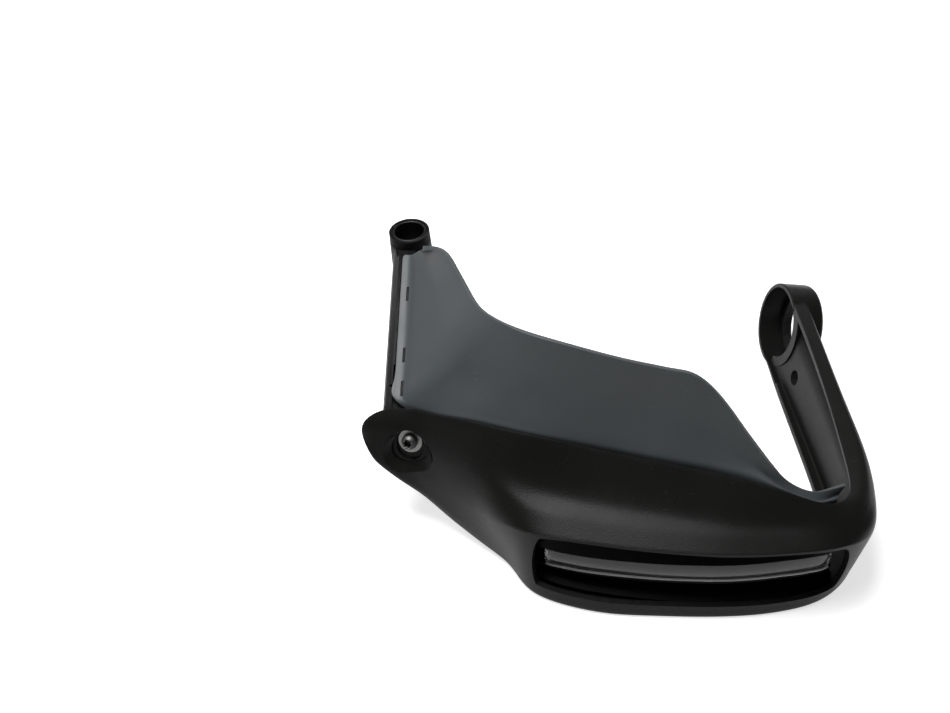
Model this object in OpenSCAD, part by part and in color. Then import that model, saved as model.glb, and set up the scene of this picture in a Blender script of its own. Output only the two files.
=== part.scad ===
/* [Mould walls] */
// Wall of the black frame moulding
frame_wall = 2.8; // [2.2:0.1:3.2]
// Wall of the grey shield moulding
shield_wall = 2.6; // [2:0.1:3]
// Wall of the bracket's channel
bracket_wall = 3; // [2.4:0.2:3.6]
// Gap left between pieces that only lie against each other
lap_gap = 0.3; // [0.2:0.05:0.5]

/* [Clamp boss] */
// Outer diameter of the boss on the lever side
boss_od = 22; // [20:0.5:24]
// Bore of the steel sleeve in the boss, for the clamp bolt's spigot
sleeve_bore = 16; // [14:0.5:17]
// Wall of the steel sleeve
sleeve_wall = 1.2; // [1:0.1:1.6]
// Height of the boss
boss_height = 29; // [24:1:32]
// Height of the boss's top face above the ground
boss_top = 95.2; // [94:0.2:97]
// Height of the undercut ledge below the boss's top face
ledge_drop = 5; // [4:0.5:7]

/* [Bar end ring] */
// Outer diameter of the ring
ring_od = 47; // [46:0.5:48]
// Bore of the pocket on the hand side, round the bar end weight
ring_pocket_d = 42.4; // [42:0.2:43]
// Bore right through the ring's outer flange
ring_bore_d = 35; // [32:0.5:37]
// Length of the ring along its axis
ring_length = 18; // [17:0.5:20]
// Depth of the pocket from the hand side
ring_pocket_depth = 13; // [11:0.5:14]
// Turn of the ring's axis seen from above
ring_yaw = 7; // [5:0.5:9]
// Downward tilt of the ring's axis toward the outside
ring_tilt = 12.6; // [12:0.1:13]
// Clearance hole through the web of the arm
web_hole_d = 8.5; // [6:0.5:9]

/* [Lamp slot] */
// Height of the slot's lower edge
slot_low = 9.6; // [9:0.2:11]
// Height of the slot's upper edge
slot_high = 32; // [31:0.2:33]
// Height of the clear strip
strip_height = 8.6; // [7:0.2:9.4]
// Depth of the clear strip
strip_depth = 5; // [4:0.5:6]

/* [Fasteners] */
// Thread diameter of the front screw
front_screw_d = 6; // [5:0.5:6]
// Head diameter of the front screw
front_head_d = 10.4; // [9:0.2:11]
// Outer diameter of the front washer
front_washer_d = 12.6; // [12:0.2:13.6]
// Shank diameter of the rear screws
rear_screw_d = 3.6; // [3:0.2:4]
// Head diameter of the rear screws
rear_head_d = 8; // [7:0.2:9]
// Radial clearance of every screw in its hole
screw_gap = 0.15; // [0.1:0.05:0.25]

/* [Hidden] */
$fn = 64;

// form lines of the frame's outer skin, from the tab round the corner to the ring
ring_face = [202.8, -6.5, 26.4]; // middle of the ring's hand side face
ring_x = [cos(ring_tilt) * cos(ring_yaw), cos(ring_tilt) * sin(ring_yaw), -sin(ring_tilt)];
ring_y = [-sin(ring_yaw), cos(ring_yaw), 0];
ring_z = cross(ring_x, ring_y);
flange_w = 10; // width of the arm's flanges at the ring
rim_rail = [
    [-17, -105.5, 57.6], [-12.4, -104.5, 61.4], [-2.6, -104, 65], [8, -105.7, 65],
    [22, -112.5, 67.8], [38, -119.5, 70.6], [55, -126, 71.2], [73, -130, 70],
    [98, -134.8, 66.8], [127, -141.8, 65.4], [153, -147, 63], [177, -154, 58.6],
    [198, -158, 54.2], [209, -151, 50.5], [213.3, -139, 48], [214.3, -118, 46.5],
    [213.8, -83, 46.5], [211.5, -43, 47.8], ring_face + ring_z * (ring_od / 2 - 1.2) + ring_x * 0.6
];
valley_rail = [
    [-18.4, -107, 55.5], [-14, -107.5, 58.5], [-3, -109.5, 60], [8, -112, 58.5],
    [22, -119, 58.5], [37, -127, 58.5], [53, -134.5, 57.5], [71, -139.5, 56.5],
    [98, -144.5, 55], [127, -151, 55], [153, -155.5, 54.2], [178, -160.5, 52.8],
    [200, -162.8, 51.3], [213, -154.5, 49.8], [218, -140.5, 48.3], [219.3, -118, 46.8],
    [218, -83, 46.6], [215.4, -43, 47.1], ring_face + ring_z * (ring_od / 2 - 1.2) + ring_x * 4.4
];
crest_rail = [
    [-18.8, -108.5, 53], [-14, -111, 53], [-3, -114, 52], [8, -117, 50],
    [22, -124.5, 48], [37, -134, 47.5], [52, -146, 49], [69, -156, 50],
    [98, -161, 49.8], [127, -166, 49.4], [153, -168.4, 49.4], [179, -168.8, 48.6],
    [203, -168, 47.4], [217.4, -158.4, 46], [222.6, -142.2, 45.8], [224.3, -118, 45.6],
    [221.6, -83, 45.6], [218.6, -43, 46.3], ring_face + ring_z * (ring_od / 2 - 1.2) + ring_x * 8.6
];
lip_rail = [
    [-18.4, -110, 50.5], [-14, -114, 47.5], [-2.5, -118, 43], [9, -121.5, 38],
    [23, -129, 34], [38, -139.5, 34], [51, -153, 37.5], [67.5, -162.5, 40],
    [97, -168.5, 40.5], [127, -173, 40.5], [153, -175, 40.5], [180, -174, 40],
    [205.5, -169.6, 38.6], [221, -160.6, 36.8], [225.8, -143, 37.2], [226.2, -118, 38.2],
    [222.8, -83, 39], [218.8, -43, 40], ring_face + ring_z * 17 + ring_x * flange_w
];
toe_rail = [
    [-17.6, -111, 48.6], [-13.3, -115.8, 41.4], [-2.4, -119.8, 32.6], [10.6, -122.8, 22.2],
    [25, -130.5, 12.5], [40, -140.5, 6.5], [54, -151.5, 2.5], [67, -168, 0.8],
    [96, -177.6, 0.5], [126, -179.8, 0.35], [154, -180.2, 0.35], [178, -178.2, 0.5],
    [199, -172.4, 1], [213, -160.6, 2], [218.6, -143, 3], [218.5, -118, 3.2],
    [214.3, -83, 3], [210.2, -43, 2.2], ring_face - ring_z * (ring_od / 2 - 1.2) + ring_x * flange_w
];
heel_rail = [
    [-15.6, -109, 49.4], [-10, -112.6, 43], [0, -116, 35], [13, -118.5, 25.5],
    [28, -125, 15.5], [44.5, -133.5, 9.5], [60, -142, 5.5], [76, -153, 2.4],
    [100, -161.5, 0.9], [127, -165, 0.5], [151, -165.5, 0.5], [173, -163.5, 0.8],
    [189, -157.5, 1.6], [199.5, -149, 3], [206.3, -136, 4.2], [208.2, -118, 4.8],
    [205.3, -83, 4.6], [201.3, -43, 4.2], ring_face - ring_z * (ring_od / 2 - 1.2) + ring_x * 0.6
];
toe_round = 4.6; // height of the rolled lower edge
span_steps = [2, 4, 4, 4, 3, 3, 3, 3, 3, 3, 3, 3, 3, 4, 4, 3, 2, 3];

// form lines of the shield's front face; fold and hem follow the bracket, then the frame's rim
brow_rail = [
    [13, -29, 105.5], [24.5, -39.5, 110.6], [34, -59, 108.8], [43, -80, 108.9],
    [53, -93, 110.9], [66, -102.2, 112], [84, -109, 110.8], [107.5, -115, 107],
    [128, -119, 104.2], [141, -122, 102.4], [152.5, -127, 92], [166, -137, 73.8],
    [180, -147.4, 57], [195, -150.8, 51], [205.6, -146.2, 49.8]
];
hook_slope = 18.7; // fall of the bracket toward the tab
edge_y = [-17, -34, -60, -84, -98]; // stations along the bracket
hem_x = -2.2; // left edge of the hem, beside the bracket's ridge
hem_w = 4.6; // flat hem that lies on the bracket's flange
rim_follow = [3.6, 5, 6.6, 8.07, 9.04, 9.8, 10.55, 11.24, 11.9, 12.7];
hem_drop = [8, 16, 20, 20, 19, 18, 16, 12, 7, 4];
lap_drop = 3; // the fold line's depth below the frame's rim
lap_inset = frame_wall + lap_gap - 0.1; // the fold line's distance behind the frame's rim
function edge_z(y) = boss_top + y * tan(hook_slope) + (lap_gap + shield_wall) / cos(hook_slope);
function fold(k) = let (u = rim_follow[k])
    bend(rim_rail, u) - out_of(u) * lap_inset - [0, 0, lap_drop];
fold_rail = [
    for (y = edge_y) [hem_x + hem_w, y - 0.6, edge_z(y)],
    for (k = [0:len(rim_follow) - 1]) fold(k)
];
hem_rail = [
    for (y = edge_y) [hem_x, y, edge_z(y)],
    for (k = [0:len(rim_follow) - 1]) fold(k) - [0, 0, hem_drop[k]]
];
shield_steps = [3, 4, 4, 4, 5, 4, 4, 4, 4, 4, 4, 3, 3, 3];
shield_rows = [0, 0.25, 0.5, 0.75, 1, 1.33, 1.67, 2, 2.5, 3, 3.5, 4];
scoop = 2.2; // hollow of the shield's face
fold_round = 5; // length of the bend between hem and face
function shield_section(u) = let (
        h = bend(hem_rail, u), f = bend(fold_rail, u), back = bend(brow_rail, u),
        n = unit(cross(f - back, bend(brow_rail, u + 0.1) - bend(brow_rail, u - 0.1))),
        b = back + n * shield_wall, m = (f + b) / 2 - n * scoop)
    [b, m, f + unit(m - f) * min(fold_round, norm(m - f) * 0.6), f, h];
shield_skin = [
    for (u = steps(shield_steps)) let (s = shield_section(u)) [for (v = shield_rows) bend(s, v)]
];

shield_inner = let (last = len(shield_skin) - 1) [
    for (i = [0:last]) [for (j = [0:len(shield_rows) - 1])
        shield_skin[i][j] - shield_wall * min(1, 0.5 + (last - i) / 8) * slope(shield_skin, i, j)]
];

// front screw
screw_out = [-0.2, -0.894, 0.4]; // the front screw points this way, out of the tab
screw_seat = [5.9, -111.2, 49.2]; // middle of the flat seat under the washer
bowl_r = 12.6;
bowl_depth = 5.4;
bowl_sphere = (bowl_r * bowl_r + bowl_depth * bowl_depth) / (2 * bowl_depth);
seat_r = front_washer_d / 2 + 0.6;
washer_t = 1.2;
insert_d = 9;
insert_l = 9;

// slot
bow_rail = [
    [66.5, -164], [76, -169], [96, -174.4], [126, -178.8], [154, -180],
    [180, -177.4], [197, -172.8], [208, -166.5]
];
strip_inset = 4; // depth of the strip's front face behind the bow line
carrier_depth = 13;

// helper functions
function knot(p, i) = i < 0 ? 2 * p[0] - p[1]
    : i >= len(p) ? 2 * p[len(p) - 1] - p[len(p) - 2] : p[i];
function bend(p, u) =
    let (i = max(0, min(floor(u), len(p) - 2)), t = u - i,
        a = knot(p, i - 1), b = p[i], c = p[i + 1], d = knot(p, i + 2))
    b + 0.5 * t * (c - a + t * (2 * a - 5 * b + 4 * c - d + t * (3 * (b - c) + d - a)));
function unit(v) = v / norm(v);
function flat(list) = [for (row = list) each row];
function slope(g, i, j) =
    let (du = g[min(i + 1, len(g) - 1)][j] - g[max(i - 1, 0)][j],
        dv = g[i][min(j + 1, len(g[0]) - 1)] - g[i][max(j - 1, 0)])
    unit(cross(dv, du)); // outward normal of a grid
function steps(counts) = [
    for (k = [0:len(counts) - 1]) for (s = [0:counts[k] - 1]) k + s / counts[k], len(counts)
];

// closed shell between two grids of points
module shell(p, q) {
    m = len(p);
    n = len(p[0]);
    function outer(i, j) = i * n + j;
    function inner(i, j) = m * n + i * n + j;
    polyhedron(flat(concat(p, q)), [
        for (i = [0:m - 2]) for (j = [0:n - 2]) each [
            [outer(i, j), outer(i + 1, j), outer(i + 1, j + 1)],
            [outer(i, j), outer(i + 1, j + 1), outer(i, j + 1)],
            [inner(i, j), inner(i + 1, j + 1), inner(i + 1, j)],
            [inner(i, j), inner(i, j + 1), inner(i + 1, j + 1)]
        ],
        for (i = [0:m - 2]) each [
            [inner(i, 0), inner(i + 1, 0), outer(i + 1, 0)],
            [inner(i, 0), outer(i + 1, 0), outer(i, 0)],
            [outer(i, n - 1), outer(i + 1, n - 1), inner(i + 1, n - 1)],
            [outer(i, n - 1), inner(i + 1, n - 1), inner(i, n - 1)]
        ],
        for (j = [0:n - 2]) each [
            [inner(0, j), outer(0, j), outer(0, j + 1)],
            [inner(0, j), outer(0, j + 1), inner(0, j + 1)],
            [outer(m - 1, j), inner(m - 1, j), inner(m - 1, j + 1)],
            [outer(m - 1, j), inner(m - 1, j + 1), outer(m - 1, j + 1)]
        ]
    ]);
}

// heights are drawn from the ground that the guard lies on; the origin is the boss's top face
module seated() {
    translate([0, 0, -boss_top]) children();
}

// puts a child drawn along +z at a point, along a direction
module aim(at, along) {
    a = unit(along);
    translate(at)
        rotate([0, acos(a[2]), atan2(a[1], a[0])])
            children();
}

// the frame's outer skin
skin_rows = [0, 0.5, 1, 1.4, 1.75, 2, 2.35, 2.7, 3, 3.12, 3.22, 3.78, 3.88, 4, 4.5, 5, 5.5, 6];
recess_rows = [3.15, 3.85]; // rows between these are pressed in on the arm
function out_of(u) = let (e = 0.05, t = bend(toe_rail, u + e) - bend(toe_rail, u - e))
    unit([t[1], -t[0], 0]);
function swell(u) = lookup(u, [[11, 0], [12, 0.4], [13, 1], [14, 1], [15, 0.6], [16, 0]]);
function frame_section(u) = let (
        toe = bend(toe_rail, u), out = out_of(u), small = min(1, 0.25 + u / 5))
    [
        bend(rim_rail, u), bend(valley_rail, u), bend(crest_rail, u), bend(lip_rail, u),
        toe + out * (1.4 * small + swell(u)) + [0, 0, (toe_round + swell(u)) * small],
        toe, bend(heel_rail, u)
    ];
frame_form = [
    for (u = steps(span_steps)) let (s = frame_section(u)) [for (v = skin_rows) bend(s, v)]
];

// arm: a channel with its web near the hand side; depth is measured outward from rim and heel
function ease(a, b, u) = let (t = max(0, min(1, (u - a) / (b - a)))) t * t * (3 - 2 * t);
function arm_axes(u) = let (
        t = bend(rim_rail, u), b = bend(heel_rail, u), o = out_of(u), z = unit(t - b))
    [(t + b) / 2, unit(o - z * (o * z)), z, norm(t - b) / 2];
function web_depth(u) =
    lookup(u, [[14.5, 6], [15.2, 5.2], [16, 4.8], [17, 4], [17.6, 2.6], [18, 2]]);
function pressed(p, u, share) = let (f = arm_axes(u), a = (p - f[0]) * f[1])
    p + f[1] * (min(a, web_depth(u) + frame_wall) - a) * share;
frame_skin = let (us = steps(span_steps)) [
    for (i = [0:len(us) - 1]) let (share = ease(14.6, 15.4, us[i]) * (1 - ease(17.1, 17.6, us[i])))
        [for (j = [0:len(skin_rows) - 1])
            skin_rows[j] > recess_rows[0] && skin_rows[j] < recess_rows[1]
                ? pressed(frame_form[i][j], us[i], share) : frame_form[i][j]]
];
function tip_wall(i) = frame_wall * min(1, 0.4 + i * 0.3);
arm_lining = [ // row, depth as a share of the corner's, depth beyond the web, height
    [0.5, 0.35, 0, 1], [1, 0.7, 0, 1], [1.4, 1, 0, 0.98], [1.75, 0, 4, 0.82], [2, 0, 2, 0.63],
    [2.35, 0, 0, 0.34], [2.7, 0, 0, 0.12], [3, 0, 0, -0.1], [3.12, 0, 0, -0.22], [3.22, 0, 0, -0.34],
    [3.78, 0, 0, -0.5], [3.88, 0, 0, -0.6], [4, 0, 0, -0.7], [4.5, 0, 0, -0.84], [5, 0, 0, -0.97],
    [5.5, 0, -1, -1]
];
function lining(u, j) = let (
        f = arm_axes(u), row = arm_lining[j - 1], d = web_depth(u), top = min(8.6, d + 5))
    f[0] + f[1] * (row[1] > 0 ? row[1] * top : d + row[2]) + f[2] * row[3] * (f[3] - frame_wall);
frame_inner = let (us = steps(span_steps), last = len(skin_rows) - 1) [
    for (i = [0:len(us) - 1]) let (share = ease(14, 15, us[i])) [for (j = [0:last])
        let (p = frame_form[i][j] - tip_wall(i) * slope(frame_form, max(1, i), j))
        j == 0 || j == last || share == 0 ? p : p + (lining(us[i], j) - p) * share]
];

module ring_local() {
    multmatrix([
        [ring_y[0], ring_z[0], ring_x[0], ring_face[0]],
        [ring_y[1], ring_z[1], ring_x[1], ring_face[1]],
        [ring_y[2], ring_z[2], ring_x[2], ring_face[2]],
        [0, 0, 0, 1]
    ])
        children();
}

ring_round = 3;
module ring_profile() {
    r = ring_od / 2;
    difference() {
        union() {
            square([r, ring_length - ring_round]);
            square([r - ring_round, ring_length]);
            translate([r - ring_round, ring_length - ring_round]) circle(r = ring_round);
        }
        translate([-30, -1]) square([30, ring_length + 2]);
    }
}
web_hole_at = [-35.5, -7.5];
web_boss_l = 4.4; // round boss on the outside of the web hole
web_boss_wall = 2.4;
web_arc_r = 18.2;
module web_arc_cutter() {
    translate([0, 0, -1]) intersection() {
        cylinder(h = ring_pocket_depth + 1, r = ring_pocket_d / 2);
        union() {
            cylinder(h = ring_pocket_depth + 1, r = web_arc_r);
            translate([-9, -30, 0]) cube([40, 60, ring_pocket_depth + 1]);
        }
    }
    translate([0, 0, -1]) linear_extrude(3)
        polygon([[0, 21.4], [-27, 18.4], [-27, -21], [0, -21.4]]);
}

function slot_half(t) = let (e = min(t, 1 - t) * 18)
    e >= 1 ? 1 : max(0.12, sqrt(1 - (1 - e) * (1 - e)));
module slot_cutter() {
    steps_n = 24;
    mid = (slot_low + slot_high) / 2;
    half = (slot_high - slot_low) / 2;
    front = [for (k = [0:steps_n]) let (t = 0.5 - 0.5 * cos(180 * k / steps_n),
        b = bow(t), n = bow_out(t), h = half * slot_half(t))
        [[for (z = [mid + h, mid - h]) [b[0] + n[0] * 9, b[1] + n[1] * 9, z]],
        [for (z = [mid + h, mid - h]) [b[0] - n[0] * 9, b[1] - n[1] * 9, z]]]];
    shell([for (s = front) s[0]], [for (s = front) s[1]]);
}
function bow(t) = bend(bow_rail, t * (len(bow_rail) - 1));
function bow_out(t) = let (e = 0.01, d = bow(min(1, t + e)) - bow(max(0, t - e)))
    unit([d[1], -d[0]]);

// tapped pillars behind the frame's skin; each is [foot on the seat side, direction, length]
shield_screw_at = [6.9, 8.3, 9.5, 10.5];
function at_shield(u) = let (
        k = lookup(u, [for (i = [0:len(rim_follow) - 1]) [rim_follow[i], len(edge_y) + i]]),
        e = 0.05, s = shield_section(k), p = bend(s, 3.55),
        n = unit(cross(bend(s, 3.9) - bend(s, 3.2),
            bend(shield_section(k + e), 3.55) - bend(shield_section(k - e), 3.55))))
    [p, n, (bend(valley_rail, u) - p) * n - frame_wall - (u < 7 ? 1 : 0)];
carrier_screw_at = [0.14, 0.84];
carrier_pillar = [6.4, 9.6]; // from the carrier's seat to the frame's wall
carrier_screw_z = 38.5;
carrier_seat = 12.6; // the carrier's flange reaches this far behind the bow line
function at_carrier(t) = let (b = bow(t), n = bow_out(t))
    [[b[0] - n[0] * carrier_seat, b[1] - n[1] * carrier_seat, carrier_screw_z],
    [n[0], n[1], 0], t < 0.5 ? carrier_pillar[0] : carrier_pillar[1]];
pillar_r = 3.6;
carrier_lap = 2.8; // thickness of the carrier's flange between screw head and pillar

module pillar(at, gap) {
    aim(at[0] + at[1] * gap, at[1]) cylinder(h = at[2] - gap, r = pillar_r);
}
module tapped_hole(at) {
    aim(at[0] - at[1], at[1]) cylinder(h = at[2], r = rear_screw_d / 2 + screw_gap / 2);
}

pad_l = 4.2; // thickness of the frame under the front washer
module frame() {
    color([0.13, 0.13, 0.13]) seated()
        difference() {
            union() {
                shell(frame_skin, frame_inner);
                ring_local() rotate_extrude() ring_profile();
                aim(screw_seat, screw_out) {
                    translate([0, 0, -pad_l]) cylinder(h = pad_l, r = seat_r + 1.5);
                    intersection() {
                        translate([0, 0, bowl_sphere]) sphere(r = bowl_sphere + frame_wall);
                        translate([0, 0, -pad_l]) cylinder(h = pad_l + 1.4, r = bowl_r);
                    }
                }
                ring_local() translate([web_hole_at[0], web_hole_at[1], 4.8])
                    cylinder(h = web_boss_l, d = web_hole_d + 2 * web_boss_wall);
                for (u = shield_screw_at) pillar(at_shield(u), lap_gap);
                for (t = carrier_screw_at) pillar(at_carrier(t), carrier_lap + lap_gap);
            }
            ring_local() {
                cylinder(h = ring_length + 1, d = ring_bore_d);
                web_arc_cutter();
                translate([web_hole_at[0], web_hole_at[1], -1]) cylinder(h = 20, d = web_hole_d);
            }
            aim(screw_seat, screw_out) {
                intersection() {
                    translate([0, 0, bowl_sphere]) sphere(r = bowl_sphere);
                    cylinder(h = 30, r = bowl_r + 6);
                }
                cylinder(h = 12, r = seat_r);
            }
            aim(screw_seat - unit(screw_out) * 9, screw_out)
                cylinder(h = 20, r = front_screw_d / 2 + screw_gap);
            for (u = shield_screw_at) tapped_hole(at_shield(u));
            for (t = carrier_screw_at) tapped_hole(at_carrier(t));
            slot_cutter();
        }
}

module shield() {
    color([0.3, 0.32, 0.33]) seated()
        difference() {
            shell(shield_skin, shield_inner);
            for (u = shield_screw_at) let (s = at_shield(u))
                aim(s[0] + s[1], -s[1]) {
                    cylinder(h = 8, r = rear_screw_d / 2 + screw_gap);
                    translate([0, 0, shield_wall + 0.9]) cylinder(h = 6, d = rear_head_d + 0.6);
                }
            hook_local() for (y = hook_at)
                translate([hook_x - hook_gap, y - hook_gap, -5])
                    cube([hook_t + 2 * hook_gap, hook_l + 2 * hook_gap, 12]);
        }
}

// the bracket, drawn level and then tipped down toward the tab
module hook_local() {
    translate([0, 0, boss_top]) rotate([hook_slope, 0, 0]) children();
}
hook_x = 1.2;
hook_t = 1;
hook_l = 8;
hook_gap = 0.2;
hook_at = [-46, -82, -101];
channel_end = -107;
boss_draft = 1; // the boss is wider by this at its foot, all round
side_x = 9.2; // the channel's outer side, left of the boss axis
channel_profile = [
    [-2.6, 2.2], [-4.2, 2.2], [-7.4, -2], [-side_x, -8], [-side_x, -20], [4, -20], [4, -17],
    [bracket_wall - side_x, -17], [bracket_wall - side_x, -8.6], [-5, -4.4], [-4, -bracket_wall],
    [3.6, -bracket_wall], [3.6, 0], [-2.6, 0]
];
flange_step = 0.9; // the flange is lower under the shield's curled corner
lug_l = 12;
module bracket() {
    color([0.11, 0.11, 0.11]) seated()
        difference() {
            union() {
                translate([0, 0, boss_top - boss_height])
                    cylinder(h = boss_height, d1 = boss_od + 2 * boss_draft, d2 = boss_od);
                hook_local() {
                    difference() {
                        rotate([90, 0, 0]) linear_extrude(-channel_end) polygon(channel_profile);
                        translate([-3.4, channel_end - 1, -flange_step]) cube([12, 25, 8]);
                        translate([-6, channel_end - 1, 0.2]) cube([4, 14, 8]);
                    }
                    for (y = [-28, -52, -76]) translate([1 - side_x, y, -18.5]) cube([10, 2, 14]);
                    for (y = hook_at) translate([hook_x, y, -1 - flange_step])
                        cube([hook_t, hook_l, 1 + flange_step + lap_gap + shield_wall]);
                }
                aim(screw_seat - unit(screw_out) * (pad_l + lap_gap + lug_l), screw_out)
                    linear_extrude(lug_l)
                    union() {
                        circle(r = 7.4);
                        polygon([[-7, 2], [-14, -8], [-14, -16], [4, -16], [7, 2]]);
                    }
            }
            translate([0, 0, boss_top]) cylinder(h = 60, d = boss_od + 30);
            translate([-20, -boss_od / 2 - 6, boss_top - ledge_drop]) difference() {
                cube([40, boss_od / 2 + 5, 20]);
                translate([20, boss_od / 2 + 6, -1]) cylinder(h = 22, d = boss_od);
            }
            translate([0, 0, boss_top - boss_height - 30])
                cylinder(h = boss_height + 60, d = sleeve_bore + 2 * sleeve_wall + 0.1);
            aim(screw_seat - unit(screw_out) * (pad_l + lap_gap + lug_l + 1), screw_out) {
                cylinder(h = lug_l + 4, r = front_screw_d / 2 + 2 * screw_gap);
                translate([0, 0, lug_l + 1 - insert_l]) cylinder(h = insert_l + 3, d = insert_d + 0.1);
            }
        }
}

module sleeve() {
    color([0.16, 0.16, 0.165]) seated()
        translate([0, 0, boss_top - boss_height - 1]) difference() {
            cylinder(h = boss_height + 1, d = sleeve_bore + 2 * sleeve_wall);
            translate([0, 0, -1]) cylinder(h = boss_height + 4, d = sleeve_bore);
        }
}

module threaded_insert() {
    color([0.78, 0.62, 0.32]) seated()
        aim(screw_seat - unit(screw_out) * (pad_l + lap_gap + insert_l), screw_out) difference() {
            cylinder(h = insert_l - 0.2, d = insert_d);
            translate([0, 0, -1]) cylinder(h = insert_l + 2, r = front_screw_d / 2 + screw_gap / 2);
        }
}

// button head screw with a six lobed socket, its head's seat at z = 0
module button_screw(shank_d, shank_l, head_d, head_h, socket_d) {
    difference() {
        union() {
            rotate_extrude() polygon([
                [0, 0], [head_d / 2, 0], [head_d / 2, head_h * 0.22],
                for (a = [15:15:75]) [head_d / 2 * cos(a * 0.72), head_h * (0.22 + 0.78 * sin(a))],
                [0, head_h]
            ]);
            translate([0, 0, -shank_l]) cylinder(h = shank_l + 0.5, d = shank_d);
        }
        translate([0, 0, head_h * 0.25]) linear_extrude(head_h)
            polygon([for (a = [0:10:350]) socket_d / 2 * (0.87 + 0.13 * cos(6 * a)) * [cos(a), sin(a)]]);
    }
}

module front_screw() {
    color([0.72, 0.72, 0.72]) seated()
        aim(screw_seat + unit(screw_out) * (washer_t + 0.05), screw_out)
            button_screw(front_screw_d, washer_t + pad_l + lap_gap + insert_l, front_head_d, 3.2, 5);
}

module front_washer() {
    color([0.66, 0.66, 0.67]) seated()
        aim(screw_seat + unit(screw_out) * 0.02, screw_out) difference() {
            cylinder(h = washer_t, d = front_washer_d);
            translate([0, 0, -1]) cylinder(h = washer_t + 2, r = front_screw_d / 2 + screw_gap);
        }
}

module rear_screw(at, clamped) {
    color([0.2, 0.2, 0.21]) seated()
        aim(at[0] - at[1] * (clamped + 0.05), -at[1])
            button_screw(rear_screw_d, clamped + at[2] - 1.4, rear_head_d, 2.4, 3.6);
}
module shield_screw(k) rear_screw(at_shield(shield_screw_at[k]), shield_wall);
module carrier_screw(k) rear_screw(at_carrier(carrier_screw_at[k]), 0.15);
module shield_screw_1() shield_screw(0);
module shield_screw_2() shield_screw(1);
module shield_screw_3() shield_screw(2);
module shield_screw_4() shield_screw(3);
module carrier_screw_1() carrier_screw(0);
module carrier_screw_2() carrier_screw(1);

// solid between flat sections that follow the bow; each section is [distance behind the bow, z]
module bow_loft(profile, tip, ends, count) {
    n = len(profile);
    function at(k, p) = let (t = ends[0] + (ends[1] - ends[0]) * k / count, b = bow(t), o = bow_out(t))
        [b[0] - o[0] * p[0], b[1] - o[1] * p[0], p[1]];
    polyhedron([for (k = [0:count]) for (p = k == 0 || k == count ? tip : profile) at(k, p)], [
        [for (j = [0:n - 1]) j], [for (j = [n - 1:-1:0]) count * n + j],
        for (k = [0:count - 1]) for (j = [0:n - 1]) let (i = (j + 1) % n) each [
            [k * n + j, (k + 1) * n + j, (k + 1) * n + i], [k * n + j, (k + 1) * n + i, k * n + i]
        ]
    ]);
}

strip_ends = [0.035, 0.965];
carrier_ends = [0.025, 0.975];
strip_top = slot_high - 0.3;
strip_low = strip_top - strip_height;
strip_profile = [
    [strip_inset, strip_top - 0.6], [strip_inset, strip_low + 1.2], [strip_inset + 1, strip_low],
    [strip_inset + strip_depth, strip_low], [strip_inset + strip_depth, strip_top],
    [strip_inset + 0.6, strip_top]
];
module clear_strip() {
    color([0.85, 0.88, 0.9]) seated() bow_loft(strip_profile, strip_profile, strip_ends, 28);
}

// the carrier's section: a flange behind the frame's skin, a shelf under the strip, a trough below;
// the trough's floor comes forward at both ends and closes it
carrier_back = strip_inset + strip_depth + 0.2;
shelf = strip_low - 0.2;
function carrier_section(trough) = [
    [10.4, 43], [9.6, 36], [carrier_back, 32], [carrier_back, shelf], [strip_inset + 0.6, shelf],
    [strip_inset + 0.8, shelf - 2.2], [trough, shelf - 3.6], [trough + 0.4, 12.4],
    [3, 8.6], [1.4, 8.2], [1.4, 5.8], [4, 6.2], [carrier_depth + 1.6, 10.6],
    [carrier_depth + 1.2, shelf - 2], [carrier_back + 2.2, shelf + 2], [carrier_back + 2.2, 32],
    [carrier_seat - 0.4, 36], [carrier_seat, 37], [carrier_seat, 43]
];
module strip_carrier() {
    color([0.06, 0.06, 0.06]) seated()
        difference() {
            bow_loft(carrier_section(carrier_depth - 1), carrier_section(strip_inset + 1.2),
                carrier_ends, 34);
            for (t = carrier_screw_at) let (s = at_carrier(t))
                aim(s[0] - s[1], s[1]) {
                    cylinder(h = 8, r = rear_screw_d / 2 + screw_gap);
                    cylinder(h = 0.9, d = rear_head_d + 0.6);
                }
        }
}

frame();
shield();
bracket();
sleeve();
threaded_insert();
clear_strip();
strip_carrier();
front_screw();
front_washer();
shield_screw_1();
shield_screw_2();
shield_screw_3();
shield_screw_4();
carrier_screw_1();
carrier_screw_2();
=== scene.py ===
import math
import bpy
import bmesh
from mathutils import Matrix, Vector


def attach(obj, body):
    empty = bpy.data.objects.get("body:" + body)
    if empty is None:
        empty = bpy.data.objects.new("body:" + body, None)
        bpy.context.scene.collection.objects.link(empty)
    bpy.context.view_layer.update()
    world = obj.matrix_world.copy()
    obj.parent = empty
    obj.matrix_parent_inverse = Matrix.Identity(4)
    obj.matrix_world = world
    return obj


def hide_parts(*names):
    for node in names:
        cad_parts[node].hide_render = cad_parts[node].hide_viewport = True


print("guard: loading the packed model")
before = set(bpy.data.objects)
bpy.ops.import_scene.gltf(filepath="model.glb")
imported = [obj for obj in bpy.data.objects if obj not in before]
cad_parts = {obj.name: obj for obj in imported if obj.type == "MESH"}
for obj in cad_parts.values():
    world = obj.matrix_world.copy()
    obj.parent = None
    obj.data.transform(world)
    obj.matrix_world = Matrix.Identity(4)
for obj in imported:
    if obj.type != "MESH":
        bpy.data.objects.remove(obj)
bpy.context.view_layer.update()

mm = 0.001
groundDrop = 0.0952  # the origin is the boss's top face, this far above the ground


def place(p):
    return Vector(p) * mm - Vector((0, 0, groundDrop))


# camera
view = {"eye": (0.0817, -0.4608, 0.3431), "pitch": 43.4, "yaw": -6.5, "roll": -5.6, "lens": 40.06,
        "sensor": 36, "near": 0.01}


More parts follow.
